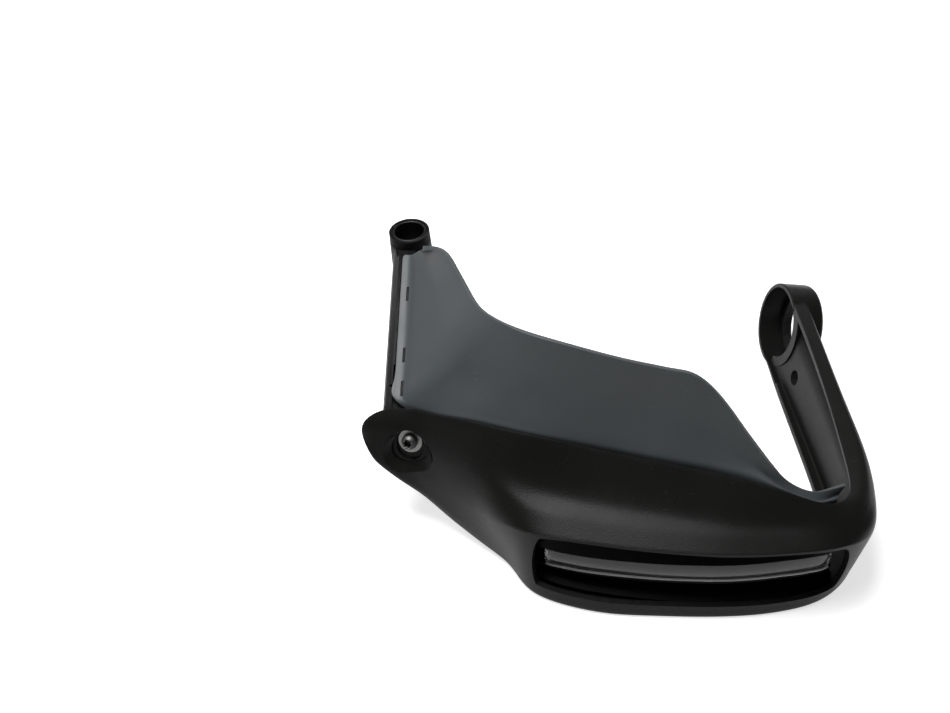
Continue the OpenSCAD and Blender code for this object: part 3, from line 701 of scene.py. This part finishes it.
def leaning(name, profile):  # round shape about the screw's axis that leans downwards as it rises
    down = Vector((0, 0, -1))
    down = (down - screwOut * down.dot(screwOut)).normalized()
    side = screwOut.cross(down)
    angles = [2 * math.pi * k / bowl["sides"] for k in range(bowl["sides"])]
    loops = []
    for r, z in profile:
        lean = max(0, min(z, bowl["leanTo"]) * bowl["lean"] + bowl["drop"])
        mid = screwSeat + screwOut * z + down * lean
        loops.append([mid + (down * math.cos(a) + side * math.sin(a)) * r for a in angles])
    return prism(name, loops)


def bowlBack():
    arc = [(r, ballHeight(r, bowlSphere + guardFrame["wall"])) for r in (12.2, 11.5, 10.3, 9, 8.4)]
    arc = [(r, z) for r, z in arc if bowl["backZ"] - 0.1 > z > -bowl["padL"]]
    return leaning("bowlBack", [(bowl["backR"], bowl["backZ"])] + arc + [(bowl["padR"], -bowl["padL"])])


slot = {
    "low": 8.6, "depth": 9.0, "endRound": 18, "endLeast": 0.12, "steps": 64,
    "top": [(0, 38.5), (0.06, 40.6), (0.2, 42.4), (0.5, 43), (0.8, 42.3), (0.93, 41.2), (1, 38)],
}
bowRail = [Vector((x, y, 0)) for x, y in (
    (66.5, -164), (76, -169), (96, -174.4), (126, -178.8), (154, -180), (180, -177.4), (197, -172.8),
    (208, -166.5))]


def bow(t):  # along the front from the slot's left end, 0, to its right end, 1
    return bend(bowRail, t * (len(bowRail) - 1))


def bowOut(t):
    t = max(0, min(1, t))
    d = bow(min(1, t + 0.01)) - bow(max(0, t - 0.01))
    return Vector((d.y, -d.x, 0)).normalized()


def bowPoint(t, back, z):
    p = bow(t) - bowOut(t) * back
    return Vector((p.x, p.y, z))


def slotHalf(t):  # the share of its height that the slot has, rounded off at both ends
    e = min(t, 1 - t) * slot["endRound"]
    return 1.0 if e >= 1 else max(slot["endLeast"], math.sqrt(1 - (1 - e) ** 2))


def slotCutter():
    loops = []
    for k in range(slot["steps"] + 1):
        t = 0.5 - 0.5 * math.cos(math.pi * k / slot["steps"])
        top = lookup(slot["top"], t)
        mid, half = (slot["low"] + top) / 2, (top - slot["low"]) / 2 * slotHalf(t)
        corners = ((-1, 1), (1, 1), (1, -1), (-1, -1))
        loops.append([bowPoint(t, back * slot["depth"], mid + rise * half) for back, rise in corners])
    return prism("slotCutter", loops)


# lines that the shield shares with the frame and the bracket
windShield = {
    "edgeY": (-17, -34, -60, -84, -98), "edgeTop": 95.2, "edgeSlope": 18.7, "wall": 2.6, "lapGap": 0.3,
    "lapIn": 0.2, "lapDrop": 3.0, "hemX": -2.2, "hemW": 4.6, "foldRound": 5.0, "foldShare": 0.6,
    "screwRow": 3.55, "screws": (6.9, 8.3, 9.5, 10.5), "levels": 2,
}
shieldWall, lapGap = windShield["wall"], windShield["lapGap"]
rimFollow = [3.6, 5, 6.6, 8.07, 9.04, 9.8, 10.55, 11.24, 11.9, 12.85]
hemDrop = [8, 16, 20, 20, 19, 18, 16, 12, 7, 4]
browRail = vectors([
    (13, -29, 105.5), (24.5, -39.5, 110.6), (34, -59, 108.8), (43, -80, 108.9),
    (53, -93, 110.9), (66, -102.2, 112), (84, -109, 110.8), (107.5, -115, 107),
    (128, -119, 104.2), (141, -122, 102.4), (152.5, -127, 92), (166, -137, 73.8),
    (180, -147.4, 57), (195, -150.8, 51), (209.4, -144.4, 51.2)])
scoopTable = [(3, 2.2), (3.8, 4.2), (4.5, 5.6), (5.2, 4.2), (6, 2.2)]


def edgeZ(y):
    a = math.radians(windShield["edgeSlope"])
    return windShield["edgeTop"] + y * math.tan(a) + (lapGap + shieldWall) / math.cos(a)


def foldPoint(u):
    inset = guardFrame["wall"] + windShield["lapIn"]
    return bend(rimRail, u) - outOf(u) * inset - Vector((0, 0, windShield["lapDrop"]))


foldRail = [Vector((windShield["hemX"] + windShield["hemW"], y - 0.6, edgeZ(y))) for y in windShield["edgeY"]]
foldRail += [foldPoint(u) for u in rimFollow]
hemRail = [Vector((windShield["hemX"], y, edgeZ(y))) for y in windShield["edgeY"]]
hemRail += [foldPoint(u) - Vector((0, 0, drop)) for u, drop in zip(rimFollow, hemDrop)]
shieldSteps = [3, 4, 4, 4, 5, 4, 4, 4, 4, 4, 4, 3, 3, 3]
shieldRows = [0, 0.25, 0.5, 0.75, 1, 1.33, 1.67, 2, 2.5, 3, 3.5, 4]


def shieldSection(u):
    hem, fold, back = bend(hemRail, u), bend(foldRail, u), bend(browRail, u)
    n = (fold - back).cross(bend(browRail, u + 0.1) - bend(browRail, u - 0.1)).normalized()
    brow = back + n * shieldWall
    middle = (fold + brow) / 2 - n * lookup(scoopTable, u)
    away = middle - fold
    start = min(windShield["foldRound"], away.length * windShield["foldShare"])
    return [brow, middle, fold + away.normalized() * start, fold, hem]


def shieldGrids():  # the outside, and the inside, which thins toward the tail
    grid = [[bend(s, v) for v in shieldRows] for s in map(shieldSection, stations(shieldSteps))]
    last = len(grid) - 1
    back = [[grid[i][j] - slope(grid, i, j) * (shieldWall * min(1, 0.5 + (last - i) / 8))
             for j in range(len(shieldRows))] for i in range(last + 1)]
    return grid, back


post = {"r": 3.6, "into": 0.5, "most": 6.0, "tapR": 1.87, "tapShort": 1}
carrierPost = {"back": 12.6, "z": 38.5, "gap": 3.1, "at": ((0.14, 6.4), (0.84, 9.6))}


def atShield(u):  # where a screw goes through the shield, its direction and its post's length
    k = lookup([(v, len(windShield["edgeY"]) + i) for i, v in enumerate(rimFollow)], u)
    section, row = shieldSection(k), windShield["screwRow"]
    p = bend(section, row)
    along = bend(shieldSection(k + 0.05), row) - bend(shieldSection(k - 0.05), row)
    n = (bend(section, row + 0.35) - bend(section, row - 0.35)).cross(along).normalized()
    start = place(p + n * 0.5)
    hit, spot = guard.ray_cast(start, n)[:2]
    return p, n, (spot - start).length / mm + post["into"] if hit else post["most"]


shieldScrews = [atShield(u) for u in windShield["screws"]]
carrierScrews = [(bowPoint(t, carrierPost["back"], carrierPost["z"]), bowOut(t), length)
                 for t, length in carrierPost["at"]]
pocketR = guardFrame["pocketD"] / 2


def arcCutter():  # the ring's pocket stops at an arc on the arm's side
    loops = []
    for z in (-1, guardFrame["pocketDepth"]):
        loop = []
        for a in (2 * math.pi * k / 120 for k in range(120)):
            r = pocketR if math.cos(a) * pocketR > guardFrame["arcFrom"] else guardFrame["arcR"]
            loop.append(ringPoint(r * math.cos(a), r * math.sin(a), z))
        loops.append(loop)
    return prism("arcCutter", loops)


def webStepCutter():
    outline = ((0, 21.4), (-27, 18.4), (-27, -21), (0, -21.4))
    return prism("webStep", [[ringPoint(x, y, z) for x, y in outline] for z in (-1, 2)])


webHole = ringPoint(*guardFrame["webHoleAt"], 0)
bowlShape = [(bowl["seatR"], 0)]
bowlShape += [(r, ballHeight(r, bowlSphere)) for r in (6.95, 8, 9, 10, 11, 12, 12.6, 13.4, 14.2, 15, 16, 17)]
added = [barEndRing(), bowlBack(), rod("screwPad", bowl["padR"], -bowl["padL"], 0, screwSeat, screwOut, 48)]
added += [rod("pillar", post["r"], lapGap, length, p, n, 32) for p, n, length in shieldScrews]
added += [rod("pillar", post["r"], carrierPost["gap"], length, p, n, 32) for p, n, length in carrierScrews]
added.append(rod("webBoss", guardFrame["webBossR"], *guardFrame["webBossZ"], webHole, ringX, 48))
combine(guard, added, "UNION")
removed = [rod("boreCutter", guardFrame["boreD"] / 2, 0, 19, ringFace, ringX, 128),
           arcCutter(), webStepCutter(),
           rod("webHole", guardFrame["webHoleD"] / 2, -1, 19, webHole, ringX, 48),
           leaning("bowlCutter", [(0.5, 0)] + bowlShape + [(19, 30)]),
           rod("washerSeat", bowl["seatR"], 0, 12, screwSeat, screwOut, 72),
           rod("screwHole", bowl["holeR"], -9, 11, screwSeat, screwOut, 40), slotCutter()]
removed += [rod("tapHole", post["tapR"], -1, length - post["tapShort"], p, n, 24)
            for p, n, length in shieldScrews + carrierScrews]
combine(guard, removed, "DIFFERENCE")
softEdges(guard)
finishPiece(guard, framePlastic, ["frame"])

print("guard: shield")
edgeLean = Matrix.Rotation(math.radians(windShield["edgeSlope"]), 4, "X")
hookFrame = Matrix.Translation((0, 0, windShield["edgeTop"])) @ edgeLean
hook = {"x": 1.2, "thick": 1.0, "length": 8.0, "gap": 0.2, "at": (-46, -82, -101)}
screwWay = {"r": 1.95, "headR": 4.3, "headFrom": 3.5}


def hookSlit(y):  # where one of the bracket's hooks comes through the shield
    left, right = hook["x"] - hook["gap"], hook["x"] + hook["thick"] + hook["gap"]
    near, far = y - hook["gap"], y + hook["length"] + hook["gap"]
    corners = ((left, near), (right, near), (right, far), (left, far))
    return prism("hookSlit", [[hookFrame @ Vector((*corner, z)) for corner in corners] for z in (-5, 7)])


def shieldScrewWay(p, n):
    r, headR, head = (screwWay[k] for k in ("r", "headR", "headFrom"))
    profile = [(0, 0), (r, 0), (r, head), (headR, head), (headR, 9.5), (0, 9.5)]
    return lathe("screwWay", profile, p + n, -n, 32)


shieldGrid, shieldBack = shieldGrids()
shield = skinPiece("windShield", shieldGrid, shieldBack, rimCrease=0.45)
subdivide(shield, windShield["levels"])
removed = [hookSlit(y) for y in hook["at"]] + [shieldScrewWay(p, n) for p, n, length in shieldScrews]
combine(shield, removed, "DIFFERENCE")
softEdges(shield)
finishPiece(shield, shieldPlastic, ["shield"])

print("guard: bracket")


def fromNode(name, newName, width):  # a copy of a solid, its facets merged and its edges rounded
    bm = bmesh.new()
    bm.from_mesh(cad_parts[name].data)
    bmesh.ops.remove_doubles(bm, verts=bm.verts, dist=0.00001)
    bmesh.ops.dissolve_limit(bm, angle_limit=math.radians(0.1), verts=bm.verts, edges=bm.edges)
    piece = newPiece(newName, bm)
    bevelled(piece, width)
    return softEdges(piece, 40)


finishPiece(fromNode("bracket", "clampBracket", 0.45), bracketPlastic, ["bracket"])
finishPiece(fromNode("sleeve", "bossSleeve", 0.35), sleeveMetal, ["sleeve"])
finishPiece(fromNode("threaded_insert", "tabInsert", 0.25), insertBrass, ["threaded_insert"])

print("guard: strip and carrier")
strip = {"inset": 3.2, "depth": 5.0, "height": 12.6, "top": 34.6, "ends": (0.055, 0.962), "crown": 0.9,
         "topChamfer": (1.4, 0.6), "lowChamfer": (1.6, 1.2), "edge": 0.25}
highlightBead = {"r": 0.75, "back": 0.55, "up": 0.95, "ends": (0.065, 0.954)}
carrier = {"depth": 13.0, "seat": 12.6, "fit": 0.2, "ends": (-0.025, 1.01), "steps": 96}
carrierEnd = {"from": 0.3, "to": 1.8, "low": 9, "high": 40, "ends": (-0.11, 0.06), "steps": 12}
# how far the strip and its carrier droop along the bow, and the share of that at a height
sagTable = [(0, 5.2), (0.12, 3.9), (0.25, 2.5), (0.4, 0.8), (0.5, 0), (0.72, 0), (0.83, 1.9), (0.9, 3.9),
            (1, 5.4)]
sagShare = [(12, 0), (19, 1), (36, 1), (41.5, 0)]


def bowLoft(name, profile, tip, ends, count):  # along the bow, with the tip's profile at both ends
    loops = []
    for k in range(count + 1):
        t = ends[0] + (ends[1] - ends[0]) * k / count
        share = ease(0, 1, min(k, count - k) / 3)
        loop = [(a[0] + (b[0] - a[0]) * share, a[1] + (b[1] - a[1]) * share) for a, b in zip(tip, profile)]
        loops.append([bowPoint(t, x, z - lookup(sagTable, t) * lookup(sagShare, z)) for x, z in loop])
    return prism(name, loops)


def stripSection():  # a crowned face to the front, then the flat back
    topIn, topDown = strip["topChamfer"]
    lowIn, lowUp = strip["lowChamfer"]
    faceTop, face = strip["top"] - topDown, strip["height"] - topDown - lowUp
    bulge = [(stripFront + strip["crown"] * (2 * k / 10 - 1) ** 2, faceTop - face * k / 10)
             for k in range(11)]
    return bulge + [(stripFront + lowIn, stripLow), (stripBack, stripLow), (stripBack, strip["top"]),
                    (stripFront + topIn, strip["top"])]


def beadSection():
    angles = [math.radians(30 * k) for k in range(12)]
    x, z, r = stripFront + highlightBead["back"], stripLow + highlightBead["up"], highlightBead["r"]
    return [(x + r * math.cos(a), z + r * math.sin(a)) for a in angles]


def carrierSection(trough, push):  # the face over the strip leans back, so that it stays dark
    seat, top, shelf = carrier["seat"], strip["top"] + carrier["fit"], stripLow - carrier["fit"]
    return [(10.4, 43), (10.4, 42.2), (7 + push, 42), (2.7 + push, top + 0.6), (3.2 + push, top),
            (carrierBack, top), (carrierBack, shelf), (stripFront + 0.6 + push, shelf),
            (stripFront + 0.8 + push, shelf - 2.2), (trough + push, shelf - 3.6), (trough + 0.4 + push, 12.4),
            (3 + push, 8.6), (1.4 + push, 8.2), (1.4 + push, 5.8), (4 + push, 6.2),
            (carrier["depth"] + 1.6, 10.6), (carrier["depth"] + 1.2, shelf - 2),
            (carrierBack + 2.2, shelf + 2), (carrierBack + 2.2, 32), (seat - 0.4, 36), (seat, 37), (seat, 43)]


def carrierEndSection():  # a plate that closes the view past the carrier's left end
    near, far = carrierBack + carrierEnd["from"], carrierBack + carrierEnd["to"]
    return [(near, carrierEnd["low"]), (far, carrierEnd["low"]), (far, carrierEnd["high"]),
            (near, carrierEnd["high"])]


stripLow = strip["top"] - strip["height"]
stripFront, stripBack = strip["inset"], strip["inset"] + strip["depth"]
carrierBack = stripBack + carrier["fit"]
lens = bowLoft("clearStrip", stripSection(), stripSection(), strip["ends"], carrier["steps"])
bevelled(lens, strip["edge"])
softEdges(lens, 30)
finishPiece(lens, lensPlastic, ["clear_strip"])
# a thin bead that carries the painted highlight along the strip's lower edge
bead = bowLoft("highlightBead", beadSection(), beadSection(), highlightBead["ends"], carrier["steps"])
softEdges(bead, 50)
finishPiece(bead, highlightBeadPlastic, ["clear_strip"])
tray = bowLoft("stripCarrier", carrierSection(carrier["depth"] - 1, 0), carrierSection(stripFront + 1.2, 3),
               carrier["ends"], carrier["steps"])
removed = [rod("screwWay", screwWay["r"], 0, 8, p - n, n, 32) for p, n, length in carrierScrews]
combine(tray, removed, "DIFFERENCE")
softEdges(tray, 30)
finishPiece(tray, carrierPlastic, ["strip_carrier"])
endPlate = bowLoft("carrierEnd", carrierEndSection(), carrierEndSection(), carrierEnd["ends"],
                   carrierEnd["steps"])
softEdges(endPlate, 30)
finishPiece(endPlate, carrierPlastic, ["strip_carrier"])

print("guard: screws")
headShape = {"lobes": 6, "lobeDepth": 0.13, "steps": 10, "lowShare": 0.22, "domeShare": 0.8,
             "floorShare": 0.25, "point": 0.5, "edge": 0.2}
frontScrew = {"shankD": 6, "shankL": 14.7, "headD": 8.0, "headH": 4.2, "socketD": 4.6, "gap": 0.05}
rearScrew = {"shankD": 3.6, "headD": 8, "headH": 2.4, "socketD": 3.6, "short": 1.4}
frontWasher = {"holeR": 3.15, "r": 6.3, "thick": 1.2, "edge": 0.2, "holeEdge": 0.15, "gap": 0.02}


def lobed(a):
    return 1 - headShape["lobeDepth"] + headShape["lobeDepth"] * math.cos(headShape["lobes"] * a)


def headProfile(r, headH, rimR):  # from the shank out, up and over the dome to the socket's rim
    low = headH * headShape["lowShare"]
    points = [(r - headShape["edge"], 0), (r, headShape["edge"]), (r, low)]
    for k in range(1, headShape["steps"] + 1):
        a = math.radians(90 * k / headShape["steps"])
        x, z = r * math.cos(a * headShape["domeShare"]), low + (headH - low) * math.sin(a)
        if x > rimR + 0.05 or z <= low:
            points.append((x, z))
    return points + [(rimR, headH), (0, headH)]


def buttonScrew(name, at, along, shankL, size):
    shankR, socketR, headH = size["shankD"] / 2, size["socketD"] / 2, size["headH"]
    point, floor = headShape["point"], headH * headShape["floorShare"]
    shank = [(0, -shankL), (shankR - point, -shankL), (shankR, -shankL + point), (shankR, 0)]
    body = lathe(name, shank + headProfile(size["headD"] / 2, headH, socketR + 0.25), at, along, 72)
    hollow = [(0, floor), (socketR, floor), (socketR, headH - 0.25), (socketR + 0.3, headH + 0.1),
              (socketR + 0.3, headH + 1), (0, headH + 1)]
    socket = lathe("socket", hollow, at, along, 96, wave=lobed)
    combine(body, [socket], "DIFFERENCE")
    return softEdges(body, 32)


def washerProfile():
    hole, r, thick = frontWasher["holeR"], frontWasher["r"], frontWasher["thick"]
    edge, holeEdge = frontWasher["edge"], frontWasher["holeEdge"]
    return [(hole, 0.1), (hole + holeEdge, 0), (r - edge, 0), (r, edge), (r, thick - edge), (r - edge, thick),
            (hole + holeEdge, thick), (hole, thick - 0.1)]


screwAt = screwSeat + screwOut * (frontWasher["thick"] + frontScrew["gap"])
bigScrew = buttonScrew("frontScrew", screwAt, screwOut, frontScrew["shankL"], frontScrew)
finishPiece(bigScrew, screwSteel, ["front_screw"])
washer = lathe("frontWasher", washerProfile(), screwSeat + screwOut * frontWasher["gap"], screwOut, 96)
softEdges(washer, 32)
finishPiece(washer, washerSteel, ["front_washer"])
for k, (p, n, length) in enumerate(shieldScrews, 1):
    shankL = shieldWall + length - rearScrew["short"]
    piece = buttonScrew(f"shieldScrew{k}", p - n * (shieldWall + 0.05), -n, shankL, rearScrew)
    finishPiece(piece, rearSteel, [f"shield_screw_{k}"])
for k, (p, n, length) in enumerate(carrierScrews, 1):
    piece = buttonScrew(f"carrierScrew{k}", p - n * 0.2, -n, 0.15 + length - rearScrew["short"], rearScrew)
    finishPiece(piece, rearSteel, [f"carrier_screw_{k}"])

print("guard: studio")
studio = {
    "floorSize": 4.0, "floorTone": 0.66, "floorRough": 0.8, "floorShine": 0.1, "lift": 0.66, "world": 0.15,
    "keyLight": {"at": (-0.1, -0.02, 0.8), "aimAt": (0.08, -0.1, -0.05), "size": (0.5, 0.5), "power": 11.5},
    "sideLight": {"at": (-0.8, 0.22, 0.4), "aimAt": (0.1, -0.08, -0.05), "size": (0.5, 0.4), "power": 0.6},
    "backLight": {"at": (0.25, 0.7, 0.35), "aimAt": (0.1, -0.05, -0.02), "size": (0.8, 0.3), "power": 1.0},
}


def makeFloor():
    bm = bmesh.new()
    size, tone = studio["floorSize"], studio["floorTone"]
    corners = ((-1, -1), (1, -1), (1, 1), (-1, 1))
    bm.faces.new([bm.verts.new((x * size, y * size, -groundDrop)) for x, y in corners])
    floor = newPiece("paleFloor", bm)
    mat, tree, shader = newFinish("paleFloor")
    for key, v in (("Base Color", (tone, tone, tone)), ("Roughness", studio["floorRough"]),
                   ("Specular IOR Level", studio["floorShine"]), ("Emission Color", (1, 1, 1))):
        feed(tree, shader.inputs[key], v)
    path = tree.nodes.new("ShaderNodeLightPath").outputs
    seen = plus(tree, path["Is Camera Ray"], path["Is Glossy Ray"], clamp=True)
    seen = plus(tree, seen, path["Is Transmission Ray"], clamp=True)
    feed(tree, shader.inputs["Emission Strength"], times(tree, seen, studio["lift"]))
    floor.data.materials.append(mat)


def softBox(name):
    look = studio[name]
    data = bpy.data.lights.new(name, "AREA")
    data.shape = "RECTANGLE"
    data.size, data.size_y = look["size"]
    data.energy = look["power"]
    lamp = bpy.data.objects.new(name, data)
    bpy.context.scene.collection.objects.link(lamp)
    lamp.location = look["at"]
    lamp.rotation_euler = (Vector(look["aimAt"]) - Vector(look["at"])).to_track_quat("-Z", "Y").to_euler()


def makeWorld():  # white to the camera, dim to the object
    world = bpy.data.worlds.new("studioWorld")
    bpy.context.scene.world = world
    world.use_nodes = True
    tree = world.node_tree
    back = tree.nodes["Background"]
    seen = tree.nodes.new("ShaderNodeLightPath").outputs["Is Camera Ray"]
    strength = plus(tree, times(tree, seen, 1 - studio["world"]), studio["world"])
    feed(tree, back.inputs["Color"], (1, 1, 1))
    feed(tree, back.inputs["Strength"], strength)


makeFloor()
makeWorld()
for name in ("keyLight", "sideLight", "backLight"):
    softBox(name)
bpy.context.scene.view_settings.view_transform = "Standard"

print("guard: done")
